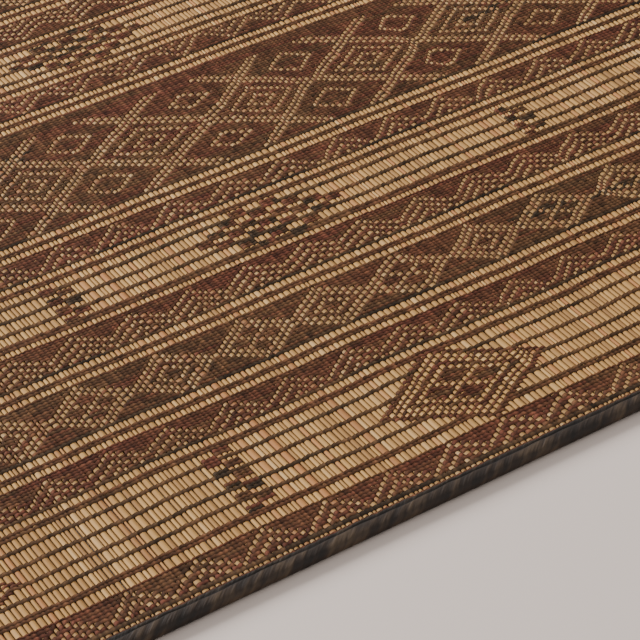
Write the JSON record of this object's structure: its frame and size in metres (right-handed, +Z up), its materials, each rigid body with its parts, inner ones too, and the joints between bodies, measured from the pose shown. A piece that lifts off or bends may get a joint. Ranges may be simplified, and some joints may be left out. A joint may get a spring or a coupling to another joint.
{
  "type": "tuareg mat",
  "caption": "Flat rectangular floor mat of thin reeds woven with narrow leather strips in bands of zigzags, lines and diamonds, its edges bound in rolled dark leather",
  "frame": {"origin": "on the floor, under the middle of the mat", "axes": "+X along the leather strips and the long bound edge, +Y along the reeds, away from the edge that the picture shows, +Z up"},
  "size_m": [1, 0.6166, 0.005],
  "materials": {
    "woven_reed": "dry straw-coloured reeds, matt with a slight sheen, under brown leather strips",
    "binding_leather": "dark brown leather, rolled and worn to a soft sheen"
  },
  "bodies": {
    "root": {"woven_field": "woven_reed", "binding_front": "binding_leather", "binding_back": "binding_leather", "binding_left": "binding_leather", "binding_right": "binding_leather"}
  },
  "joints": []
}
